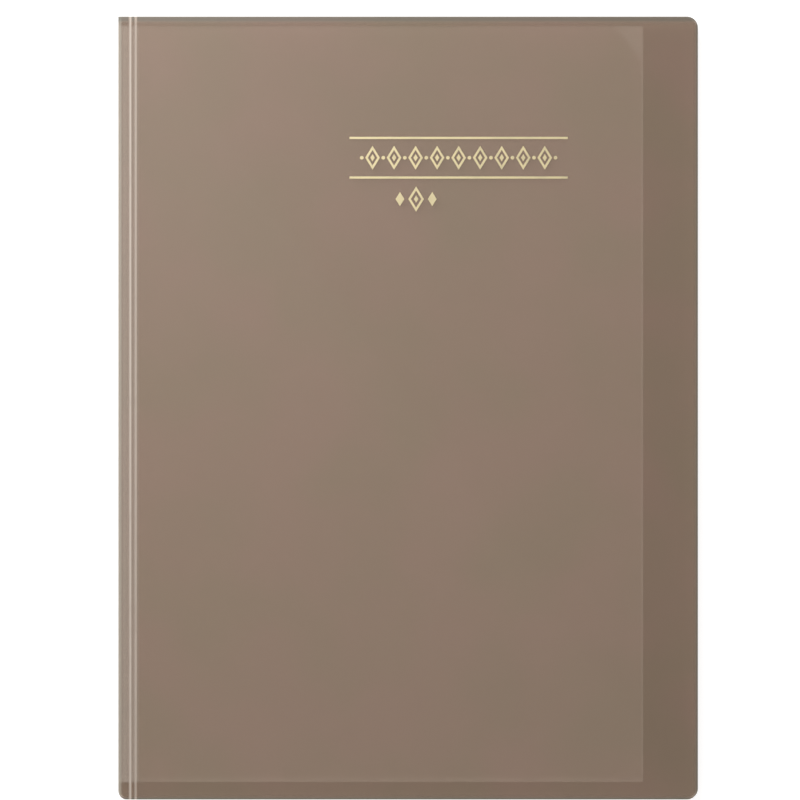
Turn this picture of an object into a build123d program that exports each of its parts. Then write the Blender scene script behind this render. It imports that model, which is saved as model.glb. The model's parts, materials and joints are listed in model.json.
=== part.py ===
from build123d import *
import os
from math import hypot

# A pocket display book, closed and lying on its back cover. Sizes are in millimetres.
# X runs from the spine to the fore-edge, Y from the foot to the head, Z up through the front cover.
# The origin is under the middle of the closed book.

# Pockets
POCKET_COUNT = 10
POCKET_INSIDE_WIDTH = 211.0    # an A4 sheet is 210 wide
POCKET_INSIDE_HEIGHT = 307.8   # from the bottom weld to the open mouth, an A4 sheet is 297 tall
FILM_THICKNESS = 0.06
SLOT_THICKNESS = 0.16          # room for paper between the two films
SPINE_WELD_WIDTH = 1.2
EDGE_WELD_WIDTH = 0.8
BOTTOM_WELD_WIDTH = 1.5
POCKET_SPACING = 0.32          # air between one pocket and the next, enough to fan them open

# Binding strip, inside the spine
BINDING_THICKNESS = 0.8
BINDING_CLEARANCE = 0.05       # from the strip to the start of the spine's bends
NOSE_CLEARANCE = 0.05          # from the strip to a pocket's rounded spine edge, so that it can turn

# Cover sheet
SHEET_THICKNESS = 0.7
BEND_INSIDE_RADIUS = 0.5
HEAD_MARGIN = 3.7              # cover beyond the pockets at the head
FOOT_MARGIN = 7.0              # cover beyond the pockets at the foot
FORE_EDGE_MARGIN = 22.3        # cover beyond the pockets at the fore-edge
CORNER_RADIUS = 4.5            # at the fore-edge
SPINE_FOOT_RADIUS = 3.6        # where the folded spine is trimmed at the foot

# Pressed score lines beside the spine, V grooves in the sheet's outer faces
FIRST_SCORE = 4.9              # from the spine's outer face
SCORE_SPACING = 2.2
GROOVE_WIDTH = 0.95
GROOVE_DEPTH = 0.35

# Gold foil on the front cover
FOIL_THICKNESS = 0.04
TITLE_FROM_SPINE = 139.2       # middle of the title, from the spine's outer face
TITLE_FROM_HEAD = 57.7         # middle of the title, from the head of the cover
RULE_LENGTH = 89.2
RULE_WIDTH = 0.9
RULE_SPACING = 16.2
BAND_LOZENGES = 9
BAND_PITCH = 8.8
BAND_LOZENGE_WIDTH = 6.0
BAND_LOZENGE_HEIGHT = 9.8
BAND_STROKE = 0.9
BAND_HEART_WIDTH = 1.8         # small solid lozenge inside each open one
BAND_HEART_HEIGHT = 3.0
BAND_DOT_RADIUS = 0.75
TAIL_FROM_TITLE = 17.4         # middle of the tail ornament, left of the title's middle
TAIL_FROM_RULE = 8.8           # and below the lower rule
TAIL_LOZENGE_WIDTH = 6.4
TAIL_LOZENGE_HEIGHT = 10.4
TAIL_SIDE_WIDTH = 3.6
TAIL_SIDE_HEIGHT = 5.8
TAIL_PITCH = 6.6

# Pockets, worked out
leaf_thickness = 2 * FILM_THICKNESS + SLOT_THICKNESS
leaf_pitch = leaf_thickness + POCKET_SPACING
stack_depth = POCKET_COUNT * leaf_thickness + (POCKET_COUNT - 1) * POCKET_SPACING
pocket_height = POCKET_INSIDE_HEIGHT + BOTTOM_WELD_WIDTH
nose_from_spine = SHEET_THICKNESS + BINDING_THICKNESS + NOSE_CLEARANCE + leaf_thickness / 2
pocket_edge_from_spine = nose_from_spine + SPINE_WELD_WIDTH + POCKET_INSIDE_WIDTH + EDGE_WELD_WIDTH

# Cover, worked out
bend_radius = BEND_INSIDE_RADIUS + SHEET_THICKNESS
stack_bottom_z = SHEET_THICKNESS + BEND_INSIDE_RADIUS + BINDING_CLEARANCE
stack_top_z = stack_bottom_z + stack_depth
book_depth = stack_top_z + stack_bottom_z
cover_width = pocket_edge_from_spine + FORE_EDGE_MARGIN
cover_height = pocket_height + HEAD_MARGIN + FOOT_MARGIN
score_lines = (FIRST_SCORE, FIRST_SCORE + SCORE_SPACING)

# Places in the book's own frame
spine_x = -cover_width / 2
nose_x = spine_x + nose_from_spine
pocket_edge_x = spine_x + pocket_edge_from_spine
pocket_bottom_y = -cover_height / 2 + FOOT_MARGIN
pocket_top_y = pocket_bottom_y + pocket_height
title_x = spine_x + TITLE_FROM_SPINE
title_y = cover_height / 2 - TITLE_FROM_HEAD


def block(x_limits, y_limits, z_limits):
    """Box between the given limits."""
    limits = (x_limits, y_limits, z_limits)
    size = [high - low for low, high in limits]
    corner = [low for low, high in limits]
    return Pos(*corner) * Box(*size, align=(Align.MIN, Align.MIN, Align.MIN))


def polygon(*corners):
    """Flat face with straight sides."""
    return make_face(Polyline(*corners, close=True))


def groove(from_spine, surface, inward):
    """Section of one score line, cut from an outer face of the sheet."""
    return polygon(
        (from_spine - GROOVE_WIDTH / 2, surface),
        (from_spine + GROOVE_WIDTH / 2, surface),
        (from_spine, surface + inward * GROOVE_DEPTH),
    )


def rounded_at_spine(left, low, high, radius):
    """Section rectangle from a distance off the spine's face to the fore-edge, rounded on its spine side."""
    width = cover_width - left
    plain = Pos(left + width / 2, (low + high) / 2) * Rectangle(width, high - low)
    return fillet(plain.vertices().group_by(Axis.X)[0], radius)


def cover_section():
    """The creased sheet seen from its foot, X from the spine's outer face: back, spine and front in one C."""
    outside = rounded_at_spine(0, 0, book_depth, bend_radius)
    inside = rounded_at_spine(
        SHEET_THICKNESS, SHEET_THICKNESS, book_depth - SHEET_THICKNESS, BEND_INSIDE_RADIUS
    )
    section = outside - inside
    for score in score_lines:
        section -= groove(score, 0, 1)
        section -= groove(score, book_depth, -1)
    return section


def cover_plan():
    """The closed cover's outline from above, as tall as the book is deep."""
    outline = Rectangle(cover_width, cover_height)
    outline = fillet(outline.vertices().group_by(Axis.X)[-1], CORNER_RADIUS)
    spine_foot = outline.vertices().group_by(Axis.X)[0].sort_by(Axis.Y)[0]
    outline = fillet(spine_foot, SPINE_FOOT_RADIUS)
    return extrude(outline, book_depth)


def cover_stretch(section, *region):
    """Part of the creased sheet: the region of its section, as long as the cover and cut to its outline."""
    stretch = extrude(Plane.XZ * (section & polygon(*region)), cover_height / 2, both=True)
    return (Pos(spine_x, 0, 0) * stretch) & cover_plan()


def cover_pieces():
    """The sheet divided where it folds, by mitres on the two bends of the spine."""
    section = cover_section()
    back_bend = (bend_radius, bend_radius)
    front_bend = (bend_radius, book_depth - bend_radius)
    back_edge = (cover_width, bend_radius)
    front_edge = (cover_width, book_depth - bend_radius)
    back_corner = (0, 0)
    front_corner = (0, book_depth)
    return {
        "back_cover_panel": cover_stretch(section, back_corner, back_bend, back_edge, (cover_width, 0)),
        "spine_panel": cover_stretch(section, back_corner, back_bend, front_bend, front_corner),
        "front_cover_panel": cover_stretch(
            section, front_corner, front_bend, front_edge, (cover_width, book_depth)
        ),
    }


def binding_strip():
    """Strip on the inner face of the spine that carries the pockets."""
    inner_face = spine_x + SHEET_THICKNESS
    return block(
        (inner_face, inner_face + BINDING_THICKNESS),
        (pocket_bottom_y, pocket_top_y),
        (stack_bottom_z, stack_top_z),
    )


def film(low_z):
    """One film of a pocket, from the rounded spine edge to the outer edge."""
    return block(
        (nose_x, pocket_edge_x), (pocket_bottom_y, pocket_top_y), (low_z, low_z + FILM_THICKNESS)
    )


def spine_weld(middle_z):
    """Spine edge of a pocket: a rounded nose as thick as the pocket, with a tongue between the films."""
    nose = leaf_thickness / 2
    tongue = SLOT_THICKNESS / 2
    step = Polyline(
        (0, -nose), (0, -tongue), (SPINE_WELD_WIDTH, -tongue), (SPINE_WELD_WIDTH, tongue), (0, tongue), (0, nose)
    )
    section = make_face([*step.edges(), CenterArc((0, 0), nose, 90, 180)])
    weld = extrude(Plane.XZ * section, pocket_height / 2, both=True)
    return Pos(nose_x, (pocket_bottom_y + pocket_top_y) / 2, middle_z) * weld


def pocket_welds(middle_z):
    """The three closed edges between the films: spine edge, outer edge and bottom."""
    slot_z = (middle_z - SLOT_THICKNESS / 2, middle_z + SLOT_THICKNESS / 2)
    edge_start = pocket_edge_x - EDGE_WELD_WIDTH
    outer = block((edge_start, pocket_edge_x), (pocket_bottom_y, pocket_top_y), slot_z)
    bottom = block(
        (nose_x + SPINE_WELD_WIDTH, edge_start),
        (pocket_bottom_y, pocket_bottom_y + BOTTOM_WELD_WIDTH),
        slot_z,
    )
    return Compound(children=[spine_weld(middle_z), outer, bottom])


def pocket_pieces():
    """All pockets, the first under the front cover and the last over the back cover."""
    pieces = {}
    for number in range(1, POCKET_COUNT + 1):
        middle_z = stack_top_z - leaf_thickness / 2 - (number - 1) * leaf_pitch
        name = f"pocket_{number:02d}"
        pieces[f"{name}_front_film"] = film(middle_z + SLOT_THICKNESS / 2)
        pieces[f"{name}_back_film"] = film(middle_z - SLOT_THICKNESS / 2 - FILM_THICKNESS)
        pieces[f"{name}_welds"] = pocket_welds(middle_z)
    return pieces


def lozenge(width, height):
    """Solid upright lozenge."""
    return polygon((width / 2, 0), (0, height / 2), (-width / 2, 0), (0, -height / 2))


def open_lozenge(width, height, stroke):
    """Lozenge outline of even stroke."""
    middle_to_side = width * height / (2 * hypot(width, height))
    hole = 1 - stroke / middle_to_side
    return lozenge(width, height) - lozenge(width * hole, height * hole)


def foil(shapes):
    """Foil shapes stamped on the front cover, each with its place on the page."""
    stamped = []
    for x, y, shape in shapes:
        stamped.append(extrude(Pos(x, y, book_depth) * shape, FOIL_THICKNESS))
    return Compound(children=stamped)


def title_rules():
    """Thin rule above and below the title band."""
    rule = Rectangle(RULE_LENGTH, RULE_WIDTH)
    return foil([(title_x, title_y + side * RULE_SPACING / 2, rule) for side in (1, -1)])


def title_band():
    """Row of open lozenges, each round a small solid one, with dots between them and at both ends."""
    shapes = []
    first_x = title_x - (BAND_LOZENGES - 1) * BAND_PITCH / 2
    for place in range(BAND_LOZENGES):
        x = first_x + place * BAND_PITCH
        shapes.append((x, title_y, open_lozenge(BAND_LOZENGE_WIDTH, BAND_LOZENGE_HEIGHT, BAND_STROKE)))
        shapes.append((x, title_y, lozenge(BAND_HEART_WIDTH, BAND_HEART_HEIGHT)))
    for place in range(BAND_LOZENGES + 1):
        shapes.append((first_x + (place - 0.5) * BAND_PITCH, title_y, Circle(BAND_DOT_RADIUS)))
    return foil(shapes)


def tail_ornament():
    """Open lozenge with a small solid one at each side, under the lower rule."""
    x = title_x - TAIL_FROM_TITLE
    y = title_y - RULE_SPACING / 2 - TAIL_FROM_RULE
    side = lozenge(TAIL_SIDE_WIDTH, TAIL_SIDE_HEIGHT)
    middle = open_lozenge(TAIL_LOZENGE_WIDTH, TAIL_LOZENGE_HEIGHT, BAND_STROKE)
    heart = lozenge(BAND_HEART_WIDTH, BAND_HEART_HEIGHT)
    return foil([(x - TAIL_PITCH, y, side), (x, y, middle), (x, y, heart), (x + TAIL_PITCH, y, side)])


pieces = {
    **cover_pieces(),
    "binding_strip": binding_strip(),
    **pocket_pieces(),
    "title_rules": title_rules(),
    "title_band": title_band(),
    "tail_ornament": tail_ornament(),
}

os.makedirs("parts", exist_ok=True)
for name, piece in pieces.items():
    export_step(piece, f"parts/{name}.step")
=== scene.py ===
"""Looks of a pocket display book: smoky cover, clear film pockets, milky binding and gold foil."""
import json
from math import atan2, pi, radians, sin, sqrt

import bmesh
import bpy
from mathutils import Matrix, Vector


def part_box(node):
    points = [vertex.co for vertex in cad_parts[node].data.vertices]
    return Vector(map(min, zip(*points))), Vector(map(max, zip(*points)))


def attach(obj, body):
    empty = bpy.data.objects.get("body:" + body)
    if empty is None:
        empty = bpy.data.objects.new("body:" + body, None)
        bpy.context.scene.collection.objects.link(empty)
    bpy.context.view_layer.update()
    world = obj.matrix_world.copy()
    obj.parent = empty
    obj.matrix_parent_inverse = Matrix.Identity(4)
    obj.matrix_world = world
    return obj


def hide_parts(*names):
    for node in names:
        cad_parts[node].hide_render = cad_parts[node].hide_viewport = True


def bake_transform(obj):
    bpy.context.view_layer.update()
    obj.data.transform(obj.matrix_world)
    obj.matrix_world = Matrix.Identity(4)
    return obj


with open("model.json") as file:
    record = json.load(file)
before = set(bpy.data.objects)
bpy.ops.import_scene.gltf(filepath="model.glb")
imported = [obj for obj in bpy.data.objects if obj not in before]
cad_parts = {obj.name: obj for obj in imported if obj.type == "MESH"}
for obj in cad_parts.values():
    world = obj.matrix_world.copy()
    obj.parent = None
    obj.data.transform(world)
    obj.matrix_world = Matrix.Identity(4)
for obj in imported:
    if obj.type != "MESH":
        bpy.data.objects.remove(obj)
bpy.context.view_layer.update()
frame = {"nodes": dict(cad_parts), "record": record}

bl_info = {
    "name": "Pocket display book",
    "version": (1, 0, 0),
    "blender": (4, 5, 0),
    "location": "3D View > Sidebar > Display Book",
    "description": "Dresses a pocket display book: translucent cover, film pockets, binding, foil and stage",
    "category": "Object",
}

SHEET_MAP = "Unrolled"

# Meshes, with lengths in millimetres
NEAR = 0.001  # two points this close count as one
SHARP_ANGLE = radians(25)  # a smaller angle between two faces is shaded smooth
RIM_ANGLE = radians(60)  # a larger one is a cut edge of the sheet
FLAT_MARGIN = 3  # roundings of the rim that stay clear beside a bend or a groove
GROOVE_BOTTOM = 1 / 2  # roundings of a groove, as shares of half its width
GROOVE_LIP = 1 / 3
BEND_STEPS = 8
CORNER_STEPS = 12
GROOVE_STEPS = 4
RIM_STEPS = 2
FOOT_CUTS = (0.5, 0.6, 0.7, 0.8, 0.9, 1.0)  # shares of the foot's radius
PINCH_LINES = (0.2, 0.4, 0.6, 0.8, 1.0)  # shares of the pinch beside a weld
FILM_LINE_STEP = 14.0
WAVE_ACROSS = 83.0  # length of a film's slow waves
WAVE_ALONG = 117.0
SHIFT_ACROSS = 0.37  # part of a wave from one pocket to the next
SHIFT_ALONG = 0.21

# Materials
WAVE_TURNS = {"Y": 20.0, "DIAGONAL": 10.0}  # radians of a wave texture per unit of place
FINE_DETAIL = 1.0
PATCH_DETAIL = 2.0
PATCH_RANGE = (0.32, 0.68)  # noise from one tone of a patch to the other
WEAR_RANGE = (0.0, 0.45)  # noise from a bare score line to a full one
LINE_CORE = 0.35  # share of a soft line's half width that is full
EDGE_CORE = 0.3  # shares of a width that are full before it fades: the painted shade along the cut edges and at the head, and the pale strip
HEAD_CORE = 0.4
STRIP_CORE = 0.8
GLINT_RANGE = (1.1, 0.8)  # reaches of the painted glint at the mouth's corner, from where it starts to where it is full
HAZE_LEAST = 0.8  # shares of a film's haze: everywhere, and in its streaks
HAZE_STREAK = 0.4
FACING_BLEND = 0.3  # how a film's haze, and its painted sheen, gathers where it is seen edge on
FACING_POWER = 4.0
SEEN_DIRECTLY = 0.5  # clear faces in front, of which even one is more
LIGHT_PASSES = 128  # faces of the stack of films that light has to pass

# The closed book as the solids have it, in metres
cover_low, cover_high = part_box("front_cover_panel")
film_low, film_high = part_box("pocket_01_front_film")
spine_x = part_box("spine_panel")[0].x
book_depth = cover_high.z
cover_width = cover_high.x - spine_x
cover_height = cover_high.y - cover_low.y
bodies = frame["record"]["behaviour"]["bodies"]


def mm(metres):
    """Millimetres, in which the pieces are modelled, from metres."""
    return metres * 1000.0


def length(name, description, default):
    """Property for a size."""
    return bpy.props.FloatProperty(
        name=name, description=description, default=default, precision=5, unit="LENGTH"
    )


def share(name, description, default):
    """Property for a strength between nothing and all."""
    return bpy.props.FloatProperty(
        name=name, description=description, default=default, min=0.0, max=1.0, subtype="FACTOR"
    )


def colour(name, description, default):
    """Property for a colour."""
    return bpy.props.FloatVectorProperty(
        name=name, description=description, default=default, min=0.0, max=1.0, size=3, subtype="COLOR"
    )


class CoverSettings(bpy.types.PropertyGroup):
    """Sizes and colours of the folded cover sheet."""

    sheet_thickness: length("Sheet thickness", "Thickness of the plastic sheet", 0.0007)
    bend_radius: length("Bend radius", "Outer radius of the two bends at the spine", 0.0012)
    bend_spread: length("Bend spread", "Flat sheet beside each bend that flexes with it", 0.0006)
    corner_radius: length("Corner radius", "Rounding of the corners at the fore-edge", 0.0045)
    foot_radius: length("Foot radius", "Rounding of the folded spine at the foot", 0.0036)
    edge_round: length("Edge round", "Rounding of the cut edges", 0.0001)
    first_score: length("First score line", "Distance from the spine's face to the first score line", 0.0049)
    score_spacing: length("Score spacing", "Distance between the two score lines", 0.0022)
    groove_width: length("Groove width", "Width of a score line", 0.00095)
    groove_depth: length("Groove depth", "Depth of a score line", 0.00035)
    strip_width: length("Pale strip", "Width of the paler strip beside the spine", 0.009)
    bend_width: length("Bend whitening", "Reach of the whitening over a bend", 0.0019)
    # These two widths set painted shade: darker lines along the fore-edge and the foot, and a wider one
    # along the head.
    edge_line: length("Edge line", "Width of the darker line along the fore-edge and the foot", 0.0014)
    head_line: length("Head line", "Width of the darker line along the head", 0.003)
    score_wear: length("Score wear", "Size of the uneven spots along a score line", 0.017)
    grain_size: length("Grain", "Size of the matt grain", 0.0006)
    grain_depth: length("Grain depth", "Depth of the matt grain", 0.00003)
    patch_size: length("Patches", "Size of the patches of warmer and cooler smoke", 0.05)
    smoke_warm: colour("Warm smoke", "Redder patches of the sheet", (0.48, 0.342, 0.267))
    smoke_cool: colour("Cool smoke", "Greener patches of the sheet", (0.445, 0.342, 0.251))
    see_through: colour("See-through tint", "Colour of light that passes a face", (0.775, 0.735, 0.7))
    score_white: colour("Score white", "Plastic whitened along the score lines", (0.7, 0.61, 0.53))
    bend_white: colour("Bend white", "Plastic whitened over the bends", (0.56, 0.53, 0.45))
    # Painted shade: the colour of the darker lines along the cut edges.
    edge_smoke: colour("Edge smoke", "Cut edge of the sheet", (0.12, 0.115, 0.09))
    second_score: share("Second score line", "Whiteness of the second score line beside the first", 0.7)
    strip_pale: share("Strip paleness", "Paleness of the strip beside the spine", 0.65)
    bend_pale: share("Bend paleness", "Paleness over the bends", 0.7)
    # Strength of the painted shade along the cut edges.
    edge_dark: share("Edge darkness", "Darkness of the line along a cut edge", 0.75)
    strip_fade: share("Strip fade", "Paleness that the strip loses towards the head", 0.4)
    opacity: share("Opacity", "Share of the light that one face of the sheet stops", 0.3)
    score_opacity: share("Score opacity", "Share that a score line adds to the opacity", 0.35)
    bend_opacity: share("Bend opacity", "Share that a bend adds to the opacity", 0.15)
    # Opacity that the painted shade along the cut edges adds.
    edge_opacity: share("Edge opacity", "Share that a cut edge adds to the opacity", 0.4)
    matt: share("Matt", "Roughness of the sheet", 0.36)
    matt_change: share("Matt change", "Roughness that the grain adds", 0.14)
    grain_relief: share("Grain relief", "Strength of the grain's relief", 0.1)


class PocketSettings(bpy.types.PropertyGroup):
    """Sizes and colours of the film pockets."""

    film_thickness: length("Film thickness", "Thickness of one film", 0.00006)
    slot: length("Slot", "Room for paper between the films", 0.00016)
    weld_gap: length("Weld gap", "Distance between the middles of the films in a weld", 0.00007)
    spine_weld: length("Spine weld", "Width of the weld at the spine", 0.0012)
    edge_weld: length("Edge weld", "Width of the weld at the outer edge", 0.0008)
    bottom_weld: length("Bottom weld", "Width of the weld at the bottom", 0.0015)
    pinch: length("Pinch", "Distance over which the films draw together at a weld", 0.009)
    ripple: length("Ripple", "Height of the films' slow waves", 0.00005)
    spine_cloud: length("Spine cloud", "Width of the cloudier film beside the spine", 0.009)
    # These two reaches set the painted glint: a whiter, more opaque patch of film at the mouth's outer
    # corner.
    corner_across: length("Corner, across", "Reach of the mouth's cloudier corner along the head", 0.0118)
    corner_down: length("Corner, down", "Reach of the mouth's cloudier corner along the edge", 0.0155)
    streak_size: length("Streaks", "Size of the streaks in the film's haze", 0.03)
    rib_spacing: length("Rib spacing", "Spacing of the slanting ribs along a weld", 0.0016)
    rib_depth: length("Rib depth", "Depth of a weld's ribs", 0.00005)
    film_white: colour("Film", "Colour of the film's haze", (0.86, 0.82, 0.785))
    film_warm: colour("Warm film", "Warmer streaks of the film's haze", (0.82, 0.765, 0.712))
    # Painted glint: the white of the film at the mouth's outer corner.
    corner_white: colour("Corner", "Colour of the haze at the corner of the mouth", (1.0, 1.0, 1.0))
    weld_white: colour("Weld", "Colour of a welded edge", (0.94, 0.93, 0.91))
    weld_grey: colour("Weld rib", "Colour between the ribs of a weld", (0.82, 0.81, 0.79))
    haze: share("Haze", "Share of the light that one face of a film stops", 0.041)
    spine_haze: share("Spine haze", "Share that a face also stops beside the spine", 0.03)
    # Opacity added by the painted glint at the mouth's outer corner.
    corner_haze: share("Corner haze", "Share that a face also stops at the corner of the mouth", 0.045)
    weld_haze: share("Weld haze", "Share of the light that one face of a film stops in a weld", 0.16)
    rib_haze: share("Rib haze", "Share that a rib of a weld also stops", 0.03)
    # Partly haze and partly a painted sheen: the film turns whiter where it is seen edge on.
    edge_on_haze: share("Edge-on haze", "Share that a face also stops where it is seen edge on", 0.16)
    film_rough: share("Film roughness", "Roughness of the film, and what its streaks add", 0.12)
    weld_rough: share("Weld roughness", "Roughness of a weld", 0.25)
    rib_rough: share("Rib roughness", "Roughness that a rib adds", 0.15)
    rib_relief: share("Rib relief", "Strength of the ribs' relief", 0.3)


class TrimSettings(bpy.types.PropertyGroup):
    """Finish of the binding strip and the foil."""

    binding_grain: length("Binding grain", "Size of the grain of the binding strip", 0.0004)
    binding_patch: length("Binding clouds", "Size of the clouds in the binding strip", 0.008)
    mark_spacing: length("Mark spacing", "Spacing of the welding bar's marks", 0.00125)
    mark_depth: length("Mark depth", "Depth of the welding bar's marks", 0.00006)
    foil_grain: length("Foil grain", "Size of the grain pressed into the foil", 0.0005)
    foil_patch: length("Foil patches", "Size of the rubbed patches of the foil", 0.004)
    foil_depth: length("Foil depth", "Depth of the grain pressed into the foil", 0.00003)
    binding_white: colour("Binding", "Milky plastic of the binding strip", (0.7, 0.66, 0.6))
    binding_grey: colour("Binding, clouded", "Greyer clouds in the binding strip", (0.55, 0.5, 0.44))
    binding_cloud: share("Binding clouding", "Strength of the clouds in the binding strip", 0.25)
    binding_opacity: share("Binding opacity", "Share of the light that the binding strip stops", 0.85)
    binding_rough: share("Binding roughness", "Roughness of the binding strip", 0.35)
    mark_rough: share("Mark roughness", "Roughness that a mark adds", 0.15)
    mark_relief: share("Mark relief", "Strength of the marks' relief", 0.3)
    foil_gold: colour("Foil", "Pale gold of the foil", (0.71, 0.61, 0.37))
    foil_worn: colour("Foil, rubbed", "Darker gold where the foil is thin", (0.55, 0.46, 0.255))
    foil_wear: share("Foil wear", "Strength of the rubbed patches", 0.45)
    foil_metal: share("Foil metal", "How metallic the foil looks", 0.75)
    foil_rough: share("Foil roughness", "Roughness of the foil", 0.28)
    wear_rough: share("Wear roughness", "Roughness that a rubbed patch adds", 0.15)
    foil_relief: share("Foil relief", "Strength of the foil's relief", 0.25)


class StageSettings(bpy.types.PropertyGroup):
    """Floor, light and camera."""

    floor_white: colour("Floor", "Colour of the floor", (0.9, 0.9, 0.89))
    floor_seen: colour("Floor, seen", "Colour of the floor under its glow", (0.45, 0.45, 0.45))
    floor_glow: share("Floor glow", "White added where the camera sees the floor", 0.75)
    floor_rough: share("Floor roughness", "Roughness of the floor", 0.9)
    floor_size: length("Floor size", "Length of the floor's sides", 8.0)
    floor_drop: length("Floor drop", "Room between the floor and the book", 0.0002)
    sky_strength: share("Sky", "Strength of the even light from all round", 0.48)
    key_power: bpy.props.FloatProperty(
        name="Key power", description="Power of the key light", default=10.8, unit="POWER"
    )
    key_size: length("Key size", "Width of the round key light", 1.0)
    key_place: bpy.props.FloatVectorProperty(
        name="Key place", description="Place of the key light", default=(-0.45, 0.5, 0.85),
        subtype="TRANSLATION",
    )
    lens: bpy.props.FloatProperty(
        name="Lens", description="Focal length in millimetres", default=200.0, unit="CAMERA"
    )
    view_width: length("View width", "Width of the picture on the front cover", 0.327)
    view_left: length("View left", "Distance of the picture's middle left of the book's middle", 0.00327)
    view_up: length("View up", "Distance of the picture's middle above the book's middle", 0.00327)


# Materials


def put(tree, kind, inputs=None, **settings):
    """Adds a node, with its settings and with values or links for its inputs."""
    node = tree.nodes.new(kind)
    for name, value in settings.items():
        setattr(node, name, value)
    for name, value in (inputs or {}).items():
        join(tree, node.inputs[name], value)
    return node


def join(tree, socket, value):
    """Links a socket to another, or sets its value."""
    if isinstance(value, bpy.types.NodeSocket):
        tree.links.new(value, socket)
    elif socket.type == "RGBA":
        socket.default_value = (*value, 1.0)
    else:
        socket.default_value = value


def work(tree, operation, first, second=0.0):
    """Output of one step of arithmetic."""
    return put(tree, "ShaderNodeMath", {0: first, 1: second}, operation=operation).outputs[0]


def raised(tree, start, mask, amount):
    """A value with an amount of a mask added to it."""
    return work(tree, "ADD", start, work(tree, "MULTIPLY", mask, amount))


def ramp(tree, value, start, end):
    """Soft step from 0 at the start to 1 at the end."""
    inputs = {"Value": value, "From Min": start, "From Max": end}
    return put(tree, "ShaderNodeMapRange", inputs, interpolation_type="SMOOTHSTEP").outputs[0]


def tinted(tree, base, over, mask, amount=1.0):
    """Base colour with another laid over it through a mask."""
    node = put(tree, "ShaderNodeMix", data_type="RGBA")
    join(tree, node.inputs["Factor"], work(tree, "MULTIPLY", mask, amount))
    join(tree, node.inputs[6], base)
    join(tree, node.inputs[7], over)
    return node.outputs[2]


def noise(tree, at, scale, detail=FINE_DETAIL):
    """Cloudy noise, with the number of its features in a metre."""
    return put(tree, "ShaderNodeTexNoise", {"Vector": at, "Scale": scale, "Detail": detail}).outputs[0]


def ribs(tree, at, spacing, direction):
    """Even ribs, with their spacing measured along Y."""
    inputs = {"Vector": at, "Scale": 2 * pi / WAVE_TURNS[direction] / spacing}
    return put(tree, "ShaderNodeTexWave", inputs, bands_direction=direction).outputs["Fac"]


def new_group(name, inputs, output_names):
    """Empty node group with its sockets, and the sockets of its two end nodes."""
    group = bpy.data.node_groups.new(name, "ShaderNodeTree")
    for socket, kind in inputs.items():
        group.interface.new_socket(socket, in_out="INPUT", socket_type=kind)
    for socket in output_names:
        group.interface.new_socket(socket, in_out="OUTPUT", socket_type="NodeSocketFloat")
    start = group.nodes.new("NodeGroupInput")
    end = group.nodes.new("NodeGroupOutput")
    return group, start.outputs, end.inputs


def matt_grain():
    """Group for rolled and pressed surfaces: a fine even grain, and broad patches that shift the colour."""
    sockets = {"Place": "NodeSocketVector", "Grain Size": "NodeSocketFloat", "Patch Size": "NodeSocketFloat"}
    group, given, result = new_group("Matt grain", sockets, ("Grain", "Patches"))
    fine = work(group, "DIVIDE", 1.0, given["Grain Size"])
    broad = work(group, "DIVIDE", 1.0, given["Patch Size"])
    patches = noise(group, given["Place"], broad, PATCH_DETAIL)
    group.links.new(noise(group, given["Place"], fine), result["Grain"])
    group.links.new(ramp(group, patches, *PATCH_RANGE), result["Patches"])
    return group


def soft_line():
    """Group for a straight line with soft sides."""
    names = ("Position", "Centre", "Half Width")
    group, given, result = new_group("Soft line", dict.fromkeys(names, "NodeSocketFloat"), ("Mask",))
    away = work(group, "ABSOLUTE", work(group, "SUBTRACT", given["Position"], given["Centre"]))
    fade = ramp(group, work(group, "DIVIDE", away, given["Half Width"]), 1.0, LINE_CORE)
    group.links.new(fade, result["Mask"])
    return group


def effect(tree, build, inputs):
    """Outputs of a shared effect in a material, with its own values."""
    name = build.__name__.replace("_", " ").capitalize()
    node = put(tree, "ShaderNodeGroup", node_tree=bpy.data.node_groups.get(name) or build())
    for socket, value in inputs.items():
        join(tree, node.inputs[socket], value)
    return node.outputs


def new_material(name):
    """Material with a Principled shader on its output."""
    material = bpy.data.materials.new(name)
    material.use_nodes = True
    tree = material.node_tree
    tree.nodes.clear()
    shader = tree.nodes.new("ShaderNodeBsdfPrincipled")
    put(tree, "ShaderNodeOutputMaterial", {"Surface": shader.outputs[0]}, name="Output")
    return material, tree, shader


def bump(tree, shader, height, strength, distance):
    """Relief on a shader."""
    inputs = {"Height": height, "Strength": strength, "Distance": distance}
    join(tree, shader.inputs["Normal"], put(tree, "ShaderNodeBump", inputs).outputs[0])


def object_place(tree):
    """Place on a piece."""
    return put(tree, "ShaderNodeTexCoord").outputs["Object"]


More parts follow.
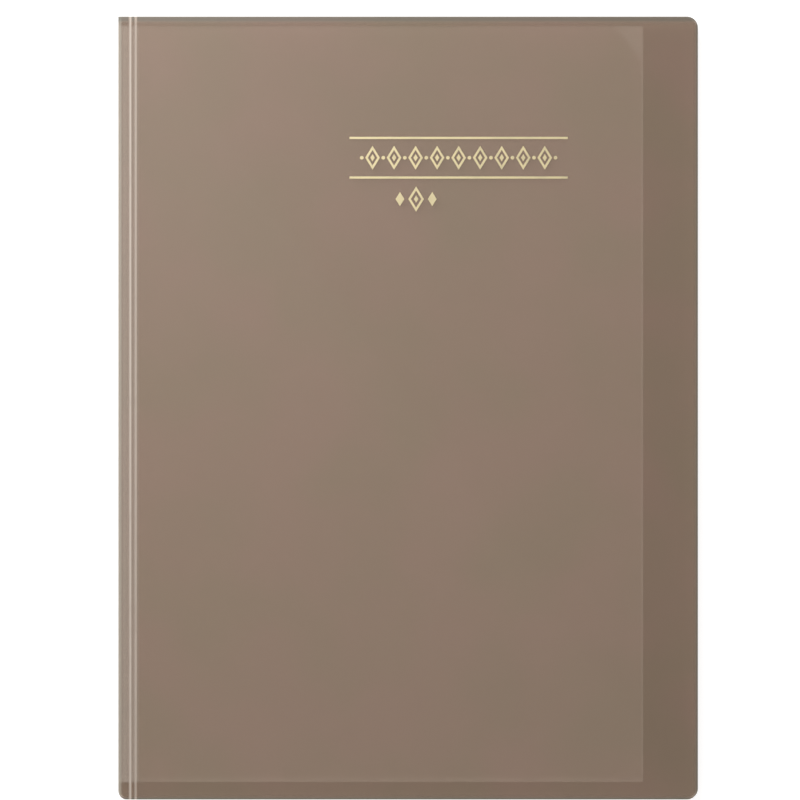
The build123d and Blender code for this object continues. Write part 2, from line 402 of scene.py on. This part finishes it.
def sheet_masks(tree, cover, flat):
    """Where the sheet is scored, bent, paler beside the binding, and given painted shade along its cut
    edges, widest at the head.
    """
    place = put(tree, "ShaderNodeSeparateXYZ", {0: flat}).outputs
    from_spine, along = place[0], place[1]

    def line(centre, half_width):
        sizes = {"Position": from_spine, "Centre": centre, "Half Width": half_width}
        return effect(tree, soft_line, sizes)["Mask"]

    half_score = cover.groove_width * 3 / 4
    first = line(cover.first_score, half_score)
    second = line(cover.first_score + cover.score_spacing, half_score)
    second = work(tree, "MULTIPLY", second, cover.second_score)
    uneven = ramp(tree, noise(tree, flat, 1 / cover.score_wear), *WEAR_RANGE)
    end = cover_height / 2
    # Painted shade: darker lines along the head, the foot and the fore-edge, widest at the head.
    head_shade = ramp(tree, along, end - cover.head_line, end - cover.head_line * HEAD_CORE)
    core = cover.edge_line * EDGE_CORE
    foot_shade = ramp(tree, along, cover.edge_line - end, core - end)
    fore_shade = ramp(tree, from_spine, cover_width - cover.edge_line, cover_width - core)
    beside = ramp(tree, from_spine, cover.strip_width, cover.strip_width * STRIP_CORE)
    above_foot = ramp(tree, along, film_low.y - cover.grain_size, film_low.y + cover.grain_size)
    below_head = ramp(tree, along, film_high.y + cover.grain_size, film_high.y - cover.grain_size)
    fading = raised(tree, 1.0, ramp(tree, along, -end, end), -cover.strip_fade)
    strip = work(tree, "MULTIPLY", work(tree, "MULTIPLY", above_foot, below_head), beside)
    scored = work(tree, "MULTIPLY", work(tree, "MAXIMUM", first, second), uneven)
    # The painted shade along the cut edges, kept off the score lines.
    edge = work(tree, "MAXIMUM", work(tree, "MAXIMUM", head_shade, foot_shade), fore_shade)
    return {
        "scored": scored,
        "bent": line(0.0, cover.bend_width),
        "strip": work(tree, "MULTIPLY", strip, fading),
        "edge": work(tree, "MULTIPLY", edge, work(tree, "SUBTRACT", 1.0, scored)),
    }


def smoky_sheet(cover):
    """Translucent smoky plastic with a matt grain, whitened where it is scored and bent, and with painted
    shade, darker and more opaque, along its cut edges.
    """
    material, tree, shader = new_material("smoky_sheet")
    flat = put(tree, "ShaderNodeUVMap", uv_map=SHEET_MAP).outputs[0]
    grain = effect(
        tree, matt_grain, {"Place": flat, "Grain Size": cover.grain_size, "Patch Size": cover.patch_size}
    )
    mask = sheet_masks(tree, cover, flat)

    tone = tinted(tree, cover.smoke_cool, cover.smoke_warm, grain["Patches"])
    tone = tinted(tree, tone, cover.score_white, mask["strip"], cover.strip_pale)
    tone = tinted(tree, tone, cover.bend_white, mask["bent"], cover.bend_pale)
    # Painted shade along the cut edges.
    tone = tinted(tree, tone, cover.edge_smoke, mask["edge"], cover.edge_dark)
    tone = tinted(tree, tone, cover.score_white, mask["scored"])
    join(tree, shader.inputs["Base Color"], tone)
    join(tree, shader.inputs["Roughness"], raised(tree, cover.matt, grain["Grain"], cover.matt_change))
    bump(tree, shader, grain["Grain"], cover.grain_relief, cover.grain_depth)

    stopped = raised(tree, cover.opacity, mask["scored"], cover.score_opacity)
    stopped = raised(tree, stopped, mask["bent"], cover.bend_opacity)
    # The painted shade along the cut edges also stops more light.
    stopped = raised(tree, stopped, mask["edge"], cover.edge_opacity)
    clear = put(tree, "ShaderNodeBsdfTransparent", {"Color": cover.see_through})
    mixed = put(tree, "ShaderNodeMixShader", {0: stopped, 1: clear.outputs[0], 2: shader.outputs[0]})
    join(tree, tree.nodes["Output"].inputs["Surface"], mixed.outputs[0])
    return material


def film_alpha(tree, shader, pockets, haze):
    """Lets light through a film, less of it where the film is seen edge on: partly thicker haze, partly a
    painted sheen.
    """
    facing = put(tree, "ShaderNodeLayerWeight", {"Blend": FACING_BLEND}).outputs["Facing"]
    # Edge on, the film shows more of its white: haze, and a painted sheen in place of its reflection.
    edge_on = work(tree, "POWER", facing, FACING_POWER)
    join(tree, shader.inputs["Alpha"], raised(tree, haze, edge_on, pockets.edge_on_haze))


def clear_film(pockets):
    """Clear film with a faint streaky haze, cloudier beside the spine, and with a painted glint, a whiter
    and more opaque patch, at the mouth's outer corner.
    """
    material, tree, shader = new_material("clear_film")
    at = object_place(tree)
    place = put(tree, "ShaderNodeSeparateXYZ", {0: at}).outputs
    streaks = noise(tree, at, 1 / pockets.streak_size)
    by_spine = ramp(tree, place[0], film_low.x + pockets.spine_cloud, film_low.x + pockets.spine_cloud / 2)
    across = work(tree, "DIVIDE", work(tree, "SUBTRACT", film_high.x, place[0]), pockets.corner_across)
    down = work(tree, "DIVIDE", work(tree, "SUBTRACT", film_high.y, place[1]), pockets.corner_down)
    # Painted glint: towards the mouth's outer corner the film turns white and more opaque.
    corner = ramp(tree, work(tree, "ADD", across, down), *GLINT_RANGE)
    tone = tinted(tree, pockets.film_white, pockets.film_warm, streaks)
    tone = tinted(tree, tone, pockets.corner_white, corner)
    join(tree, shader.inputs["Base Color"], tone)
    join(tree, shader.inputs["Roughness"], raised(tree, pockets.film_rough, streaks, pockets.film_rough))
    haze = raised(tree, pockets.haze * HAZE_LEAST, streaks, pockets.haze * HAZE_STREAK)
    haze = raised(tree, haze, by_spine, pockets.spine_haze)
    # The painted glint also makes the corner more opaque.
    haze = raised(tree, haze, corner, pockets.corner_haze)
    film_alpha(tree, shader, pockets, haze)
    return material


def welded_film(pockets):
    """Two films welded into one: cloudy, with the fine slanting ribs of the welding bar."""
    material, tree, shader = new_material("welded_film")
    slant = ribs(tree, object_place(tree), pockets.rib_spacing, "DIAGONAL")
    join(tree, shader.inputs["Base Color"], tinted(tree, pockets.weld_grey, pockets.weld_white, slant))
    join(tree, shader.inputs["Roughness"], raised(tree, pockets.weld_rough, slant, pockets.rib_rough))
    bump(tree, shader, slant, pockets.rib_relief, pockets.rib_depth)
    film_alpha(tree, shader, pockets, raised(tree, pockets.weld_haze, slant, pockets.rib_haze))
    return material


def milky_strip(trim):
    """Milky plastic with the crosswise marks of the welding bar."""
    material, tree, shader = new_material("milky_strip")
    at = object_place(tree)
    sizes = {"Place": at, "Grain Size": trim.binding_grain, "Patch Size": trim.binding_patch}
    grain = effect(tree, matt_grain, sizes)
    marks = ribs(tree, at, trim.mark_spacing, "Y")
    tone = tinted(tree, trim.binding_white, trim.binding_grey, grain["Patches"], trim.binding_cloud)
    join(tree, shader.inputs["Base Color"], tone)
    join(tree, shader.inputs["Roughness"], raised(tree, trim.binding_rough, marks, trim.mark_rough))
    bump(tree, shader, work(tree, "ADD", marks, grain["Grain"]), trim.mark_relief, trim.mark_depth)
    shader.inputs["Alpha"].default_value = trim.binding_opacity
    return material


def gold_foil(trim):
    """Stamped foil: pale gold, a little uneven where it was pressed into the matt sheet."""
    material, tree, shader = new_material("gold_foil")
    at = object_place(tree)
    grain = effect(
        tree, matt_grain, {"Place": at, "Grain Size": trim.foil_grain, "Patch Size": trim.foil_patch}
    )
    tone = tinted(tree, trim.foil_gold, trim.foil_worn, grain["Patches"], trim.foil_wear)
    join(tree, shader.inputs["Base Color"], tone)
    join(tree, shader.inputs["Roughness"], raised(tree, trim.foil_rough, grain["Patches"], trim.wear_rough))
    shader.inputs["Metallic"].default_value = trim.foil_metal
    bump(tree, shader, grain["Grain"], trim.foil_relief, trim.foil_depth)
    return material


def pale_floor(stage):
    """White floor that keeps the book's shadow, and glows where it is seen with nothing clear before it."""
    material, tree, shader = new_material("pale_floor")
    ray = put(tree, "ShaderNodeLightPath").outputs
    seen = work(tree, "MAXIMUM", ray["Is Camera Ray"], ray["Is Glossy Ray"])
    seen = work(tree, "MAXIMUM", seen, ray["Is Transmission Ray"])
    seen = work(tree, "MULTIPLY", seen, work(tree, "LESS_THAN", ray["Transparent Depth"], SEEN_DIRECTLY))
    join(tree, shader.inputs["Base Color"], tinted(tree, stage.floor_white, stage.floor_seen, seen))
    join(tree, shader.inputs["Emission Color"], (1.0, 1.0, 1.0))
    join(tree, shader.inputs["Emission Strength"], work(tree, "MULTIPLY", seen, stage.floor_glow))
    shader.inputs["Roughness"].default_value = stage.floor_rough
    shader.inputs["Specular IOR Level"].default_value = 0.0
    return material


# Meshes


def new_piece(name, bm, *materials):
    """Object at the origin, in metres, from a mesh in its place in millimetres."""
    bmesh.ops.scale(bm, vec=(1 / mm(1.0),) * 3, verts=bm.verts)
    mesh = bpy.data.meshes.new(name)
    bm.to_mesh(mesh)
    bm.free()
    mesh.shade_smooth()
    mesh.set_sharp_from_angle(angle=SHARP_ANGLE)
    for material in materials:
        mesh.materials.append(material)
    piece = bpy.data.objects.new(name, mesh)
    bpy.context.scene.collection.objects.link(piece)
    return piece


def only(kind, items):
    """The vertices or the faces among mixed items."""
    return [item for item in items if isinstance(item, kind)]


def cut(bm, point, normal):
    """Adds a line of edges where a plane crosses the mesh."""
    geometry = [*bm.verts, *bm.edges, *bm.faces]
    bmesh.ops.bisect_plane(bm, geom=geometry, dist=NEAR / 10, plane_co=point, plane_no=normal)


def cut_across(bm, x):
    """Adds a line of edges from foot to head."""
    cut(bm, (x, 0, 0), (1, 0, 0))


def soften(bm, edges, radius, steps):
    """Rounds edges."""
    bmesh.ops.bevel(
        bm, geom=edges, offset=radius, offset_type="OFFSET", segments=steps,
        profile=0.5, material=-1, affect="EDGES", clamp_overlap=True,
    )


def edges_along(bm, from_spine, inwards):
    """Edges from foot to head at a place in the section of the folded sheet."""
    def there(vert):
        return abs(vert.co.x - from_spine) < NEAR and abs(vert.co.z + inwards) < NEAR

    return [edge for edge in bm.edges if all(there(vert) for vert in edge.verts)]


def trim_foot(bm, radius):
    """Rounds the folded sheet off at the foot of the spine."""
    foot = -mm(cover_height) / 2
    for part in FOOT_CUTS:
        cut_across(bm, radius * part)
    for vert in bm.verts:
        if vert.co.y < foot + NEAR and vert.co.x < radius:
            vert.co.y = foot + radius - sqrt(radius ** 2 - (radius - vert.co.x) ** 2)


def sheet_bar(outline):
    """Solid pulled from foot to head out of a section, given as distances from the spine and inwards."""
    bm = bmesh.new()
    foot = -mm(cover_height) / 2
    section = bm.faces.new([bm.verts.new((x, foot, -inwards)) for x, inwards in outline])
    pulled = bmesh.ops.extrude_face_region(bm, geom=[section])["geom"]
    bmesh.ops.translate(bm, vec=(0, mm(cover_height), 0), verts=only(bmesh.types.BMVert, pulled))
    bmesh.ops.recalc_face_normals(bm, faces=bm.faces)
    return bm


def folded_sheet(cover, spine_reach):
    """Half of the cover: a panel, its bend and its side of the spine, with its face at height 0."""
    width, thickness, bend = mm(cover_width), mm(cover.sheet_thickness), mm(cover.bend_radius)
    half_groove, depth = mm(cover.groove_width) / 2, mm(cover.groove_depth)
    flat_margin = mm(cover.edge_round) * FLAT_MARGIN
    scores = (mm(cover.first_score), mm(cover.first_score + cover.score_spacing))
    outside = [(0, spine_reach), (0, 0)]
    for score in scores:
        outside += [(score - half_groove, 0), (score, depth), (score + half_groove, 0)]
    inside = [(width, thickness), (thickness, thickness), (thickness, spine_reach)]
    bm = sheet_bar([*outside, (width, 0), *inside])

    soften(bm, edges_along(bm, 0, 0), bend, BEND_STEPS)
    soften(bm, edges_along(bm, thickness, thickness), bend - thickness, BEND_STEPS)
    for score in scores:
        soften(bm, edges_along(bm, score, depth), half_groove * GROOVE_BOTTOM, GROOVE_STEPS)
        for side in (-1, 1):
            lip = edges_along(bm, score + side * half_groove, 0)
            soften(bm, lip, half_groove * GROOVE_LIP, GROOVE_STEPS)
    fore_edges = [edge for edge in bm.edges if all(vert.co.x > width - NEAR for vert in edge.verts)]
    corners = [edge for edge in fore_edges if edge.calc_length() < thickness + NEAR]
    soften(bm, corners, mm(cover.corner_radius), CORNER_STEPS)

    cut(bm, (0, 0, -bend - flat_margin), (0, 0, 1))
    cut_across(bm, bend + flat_margin)
    for score in scores:
        for side in (-1, 1):
            cut_across(bm, score + side * (half_groove + flat_margin))
    trim_foot(bm, mm(cover.foot_radius))
    return bm


def round_rim(bm, radius, spine_reach):
    """Rounds the cut edges of a sheet, but not where the spine's two halves meet."""
    rim = []
    for edge in bm.edges:
        seam = all(vert.co.z < NEAR - spine_reach for vert in edge.verts)
        if not seam and edge.calc_face_angle(0.0) > RIM_ANGLE:
            rim.append(edge)
    soften(bm, rim, radius, RIM_STEPS)


def unrolled(point, bend):
    """Distance from the spine's outer face once the sheet is rolled out flat, negative on the spine."""
    from_spine, inwards = point.x, -point.z
    if from_spine >= bend:
        return from_spine
    if inwards >= bend:
        return bend - bend * pi / 2 - (inwards - bend)
    return bend - bend * atan2(bend - from_spine, bend - inwards)


def map_sheet(bm, bend):
    """Gives the folded sheet a map of itself rolled out flat, in metres."""
    layer = bm.loops.layers.uv.new(SHEET_MAP)
    for face in bm.faces:
        for loop in face.loops:
            point = loop.vert.co
            loop[layer].uv = (unrolled(point, bend) / mm(1.0), point.y / mm(1.0))


def cover_half(cover, spine_reach):
    """One half of the cover with its map, still measured from its own face."""
    bm = folded_sheet(cover, spine_reach)
    round_rim(bm, mm(cover.edge_round), spine_reach)
    map_sheet(bm, mm(cover.bend_radius))
    return bm


class DISPLAY_BOOK_OT_cover(bpy.types.Operator):
    """Makes the folded cover: the front with the spine, and the back"""

    bl_idname = "display_book.cover"
    bl_label = "Cover"

    def execute(self, context):
        cover = context.scene.display_book_cover
        material = smoky_sheet(cover)
        flex = cover.bend_radius + cover.bend_spread
        seam = flex + cover.sheet_thickness

        front = cover_half(cover, mm(book_depth - seam))
        bmesh.ops.translate(front, vec=(mm(spine_x), 0, mm(book_depth)), verts=front.verts)
        front_sheet = new_piece("front_cover_sheet", front, material)
        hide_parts("front_cover_panel", "spine_panel")
        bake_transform(front_sheet)

        back = cover_half(cover, mm(seam))
        bmesh.ops.scale(back, vec=(1, 1, -1), verts=back.verts)
        bmesh.ops.reverse_faces(back, faces=back.faces)
        bmesh.ops.translate(back, vec=(mm(spine_x), 0, 0), verts=back.verts)
        back_sheet = new_piece("back_cover_sheet", back, material)
        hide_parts("back_cover_panel")
        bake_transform(back_sheet)
        return {"FINISHED"}


def smooth_step(value):
    """Soft step from 0 to 1."""
    value = min(max(value, 0.0), 1.0)
    return value * value * (3 - 2 * value)


def film_lines(low, high, pinch):
    """Places for a film's lines between two welds: a few where it draws together, and even ones between."""
    lines = [low, high]
    for part in PINCH_LINES:
        lines += [low + pinch * part, high - pinch * part]
    run = high - low - 2 * pinch
    count = round(run / FILM_LINE_STEP)
    return lines + [low + pinch + run * number / count for number in range(1, count)]


def flat_film(left, right, bottom, pinch):
    """Flat film of a pocket, lined at its welds and where it is shaped."""
    low, high = mm(film_low), mm(film_high)
    bm = bmesh.new()
    bmesh.ops.create_grid(bm, x_segments=1, y_segments=1, size=0.5)
    bmesh.ops.scale(bm, vec=(high.x - low.x, high.y - low.y, 1), verts=bm.verts)
    bmesh.ops.translate(bm, vec=((low.x + high.x) / 2, (low.y + high.y) / 2, 0), verts=bm.verts)
    for x in film_lines(left, right, pinch):
        cut_across(bm, x)
    for y in film_lines(bottom, high.y, pinch):
        cut(bm, (0, y, 0), (0, 1, 0))
    return bm


def add_back_film(bm):
    """Mirrors the front film for the back one, and joins the two at every edge but the mouth."""
    mouth = mm(film_high.y) - NEAR
    welded = [e for e in bm.edges if e.is_boundary and any(v.co.y < mouth for v in e.verts)]
    copy = bmesh.ops.duplicate(bm, geom=[*bm.verts, *bm.edges, *bm.faces])["geom"]
    sides = bmesh.ops.extrude_edge_only(bm, edges=welded)["geom"]
    bmesh.ops.scale(bm, vec=(1, 1, -1), verts=only(bmesh.types.BMVert, [*copy, *sides]))
    bmesh.ops.remove_doubles(bm, verts=bm.verts, dist=NEAR)
    bmesh.ops.recalc_face_normals(bm, faces=bm.faces)


def pocket_mesh(pockets, number):
    """Two films joined at three welded edges and parted at the mouth, about the pocket's middle plane."""
    pinch = mm(pockets.pinch)
    left = mm(film_low.x + pockets.spine_weld)
    right = mm(film_high.x - pockets.edge_weld)
    bottom = mm(film_low.y + pockets.bottom_weld)
    closed = mm(pockets.weld_gap) / 2
    parted = mm(pockets.slot + pockets.film_thickness) / 2

    def opening(point):
        """How far the films are parted, from nothing at the welds to all."""
        part = 1.0
        for gap in (point.x - left, right - point.x, point.y - bottom):
            part *= smooth_step(gap / pinch)
        return part

    def wave(point):
        """Slow waves of the film, in another place on each pocket."""
        across = sin(2 * pi * (point.x / WAVE_ACROSS + SHIFT_ACROSS * number))
        along = sin(2 * pi * (point.y / WAVE_ALONG + SHIFT_ALONG * number))
        return across * along * mm(pockets.ripple)

    bm = flat_film(left, right, bottom, pinch)
    for vert in bm.verts:
        vert.co.z = closed + (parted - closed) * opening(vert.co)
    add_back_film(bm)
    for vert in bm.verts:
        vert.co.z += wave(vert.co) * opening(vert.co)
    for face in bm.faces:
        middle = face.calc_center_median()
        face.material_index = int(middle.x < left or middle.x > right or middle.y < bottom)
    return bm


class DISPLAY_BOOK_OT_pockets(bpy.types.Operator):
    """Makes the film pockets, welded on three edges and open at the head"""

    bl_idname = "display_book.pockets"
    bl_label = "Pockets"

    def execute(self, context):
        pockets = context.scene.display_book_pockets
        materials = clear_film(pockets), welded_film(pockets)
        names = sorted(node.removesuffix("_welds") for node in frame["nodes"] if node.endswith("_welds"))
        for number, name in enumerate(names):
            front, back, welds = f"{name}_front_film", f"{name}_back_film", f"{name}_welds"
            middle = (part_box(front)[1].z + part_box(back)[0].z) / 2
            bm = pocket_mesh(pockets, number)
            bmesh.ops.translate(bm, vec=(0, 0, mm(middle)), verts=bm.verts)
            piece = new_piece(f"{name}_films", bm, *materials)
            wall = piece.modifiers.new("Film", "SOLIDIFY")
            wall.thickness = pockets.film_thickness
            wall.offset = 0.0
            # Clear film hardly shades anything, and renders much faster without.
            piece.visible_shadow = False
            piece.visible_diffuse = False
            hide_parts(front, back, welds)
            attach(piece, next(body for body, nodes in bodies.items() if front in nodes))
        return {"FINISHED"}


def dress(node, material):
    """Gives a CAD node a finish."""
    target = frame["nodes"][node]
    if not target.material_slots:
        target.data.materials.append(material)
    for slot in target.material_slots:
        slot.material = material


class DISPLAY_BOOK_OT_trim(bpy.types.Operator):
    """Finishes the binding strip and the gold foil"""

    bl_idname = "display_book.trim"
    bl_label = "Binding and foil"

    def execute(self, context):
        trim = context.scene.display_book_trim
        dress("binding_strip", milky_strip(trim))
        foil = gold_foil(trim)
        for node in ("title_rules", "title_band", "tail_ornament"):
            dress(node, foil)
        return {"FINISHED"}


def add_floor(stage):
    """Floor just under the book."""
    bm = bmesh.new()
    bmesh.ops.create_grid(bm, x_segments=1, y_segments=1, size=mm(stage.floor_size) / 2)
    bmesh.ops.translate(bm, vec=(0, 0, -mm(stage.floor_drop)), verts=bm.verts)
    new_piece("floor", bm, pale_floor(stage))


def add_light(scene, stage):
    """Even sky, white where it is seen, and a soft key light from the head and the spine's side."""
    world = bpy.data.worlds.new("even_sky")
    world.use_nodes = True
    tree = world.node_tree
    sky = tree.nodes["Background"].inputs
    join(tree, sky["Color"], (1.0, 1.0, 1.0))
    seen = put(tree, "ShaderNodeLightPath").outputs["Is Camera Ray"]
    join(tree, sky["Strength"], work(tree, "MAXIMUM", seen, stage.sky_strength))
    scene.world = world

    light = bpy.data.lights.new("key_light", "AREA")
    light.shape = "DISK"
    light.size = stage.key_size
    light.energy = stage.key_power
    lamp = bpy.data.objects.new("key_light", light)
    lamp.location = stage.key_place
    lamp.rotation_euler = (-lamp.location).to_track_quat("-Z", "Y").to_euler()
    scene.collection.objects.link(lamp)


def add_camera(scene, stage):
    """Camera straight above the front cover."""
    lens = bpy.data.cameras.new("camera")
    lens.lens = stage.lens
    camera = bpy.data.objects.new("camera", lens)
    distance = stage.view_width * lens.lens / lens.sensor_width
    camera.location = (-stage.view_left, stage.view_up, book_depth + distance)
    scene.collection.objects.link(camera)
    scene.camera = camera


class DISPLAY_BOOK_OT_stage(bpy.types.Operator):
    """Makes the floor, the light and the camera"""

    bl_idname = "display_book.stage"
    bl_label = "Stage"

    def execute(self, context):
        scene = context.scene
        stage = scene.display_book_stage
        add_floor(stage)
        add_light(scene, stage)
        add_camera(scene, stage)
        scene.view_settings.view_transform = "Standard"
        scene.cycles.transparent_max_bounces = LIGHT_PASSES
        return {"FINISHED"}


SETTINGS = {
    "display_book_cover": CoverSettings,
    "display_book_pockets": PocketSettings,
    "display_book_trim": TrimSettings,
    "display_book_stage": StageSettings,
}
STEPS = (DISPLAY_BOOK_OT_cover, DISPLAY_BOOK_OT_pockets, DISPLAY_BOOK_OT_trim, DISPLAY_BOOK_OT_stage)


class DISPLAY_BOOK_PT_panel(bpy.types.Panel):
    """Lists the book's settings and steps"""

    bl_idname = "DISPLAY_BOOK_PT_panel"
    bl_label = "Display Book"
    bl_space_type = "VIEW_3D"
    bl_region_type = "UI"
    bl_category = "Display Book"

    def draw(self, context):
        for name, step in zip(SETTINGS, STEPS):
            box = self.layout.box()
            for setting in SETTINGS[name].__annotations__:
                box.prop(getattr(context.scene, name), setting)
            box.operator(step.bl_idname)


def register():
    for cls in (*SETTINGS.values(), *STEPS, DISPLAY_BOOK_PT_panel):
        bpy.utils.register_class(cls)
    for name, group in SETTINGS.items():
        setattr(bpy.types.Scene, name, bpy.props.PointerProperty(type=group))


def unregister():
    for name in SETTINGS:
        delattr(bpy.types.Scene, name)
    for cls in (DISPLAY_BOOK_PT_panel, *STEPS, *SETTINGS.values()):
        bpy.utils.unregister_class(cls)


def main():
    register()
    bpy.ops.display_book.cover()
    bpy.ops.display_book.pockets()
    bpy.ops.display_book.trim()
    bpy.ops.display_book.stage()


if __name__ == "__main__":
    main()
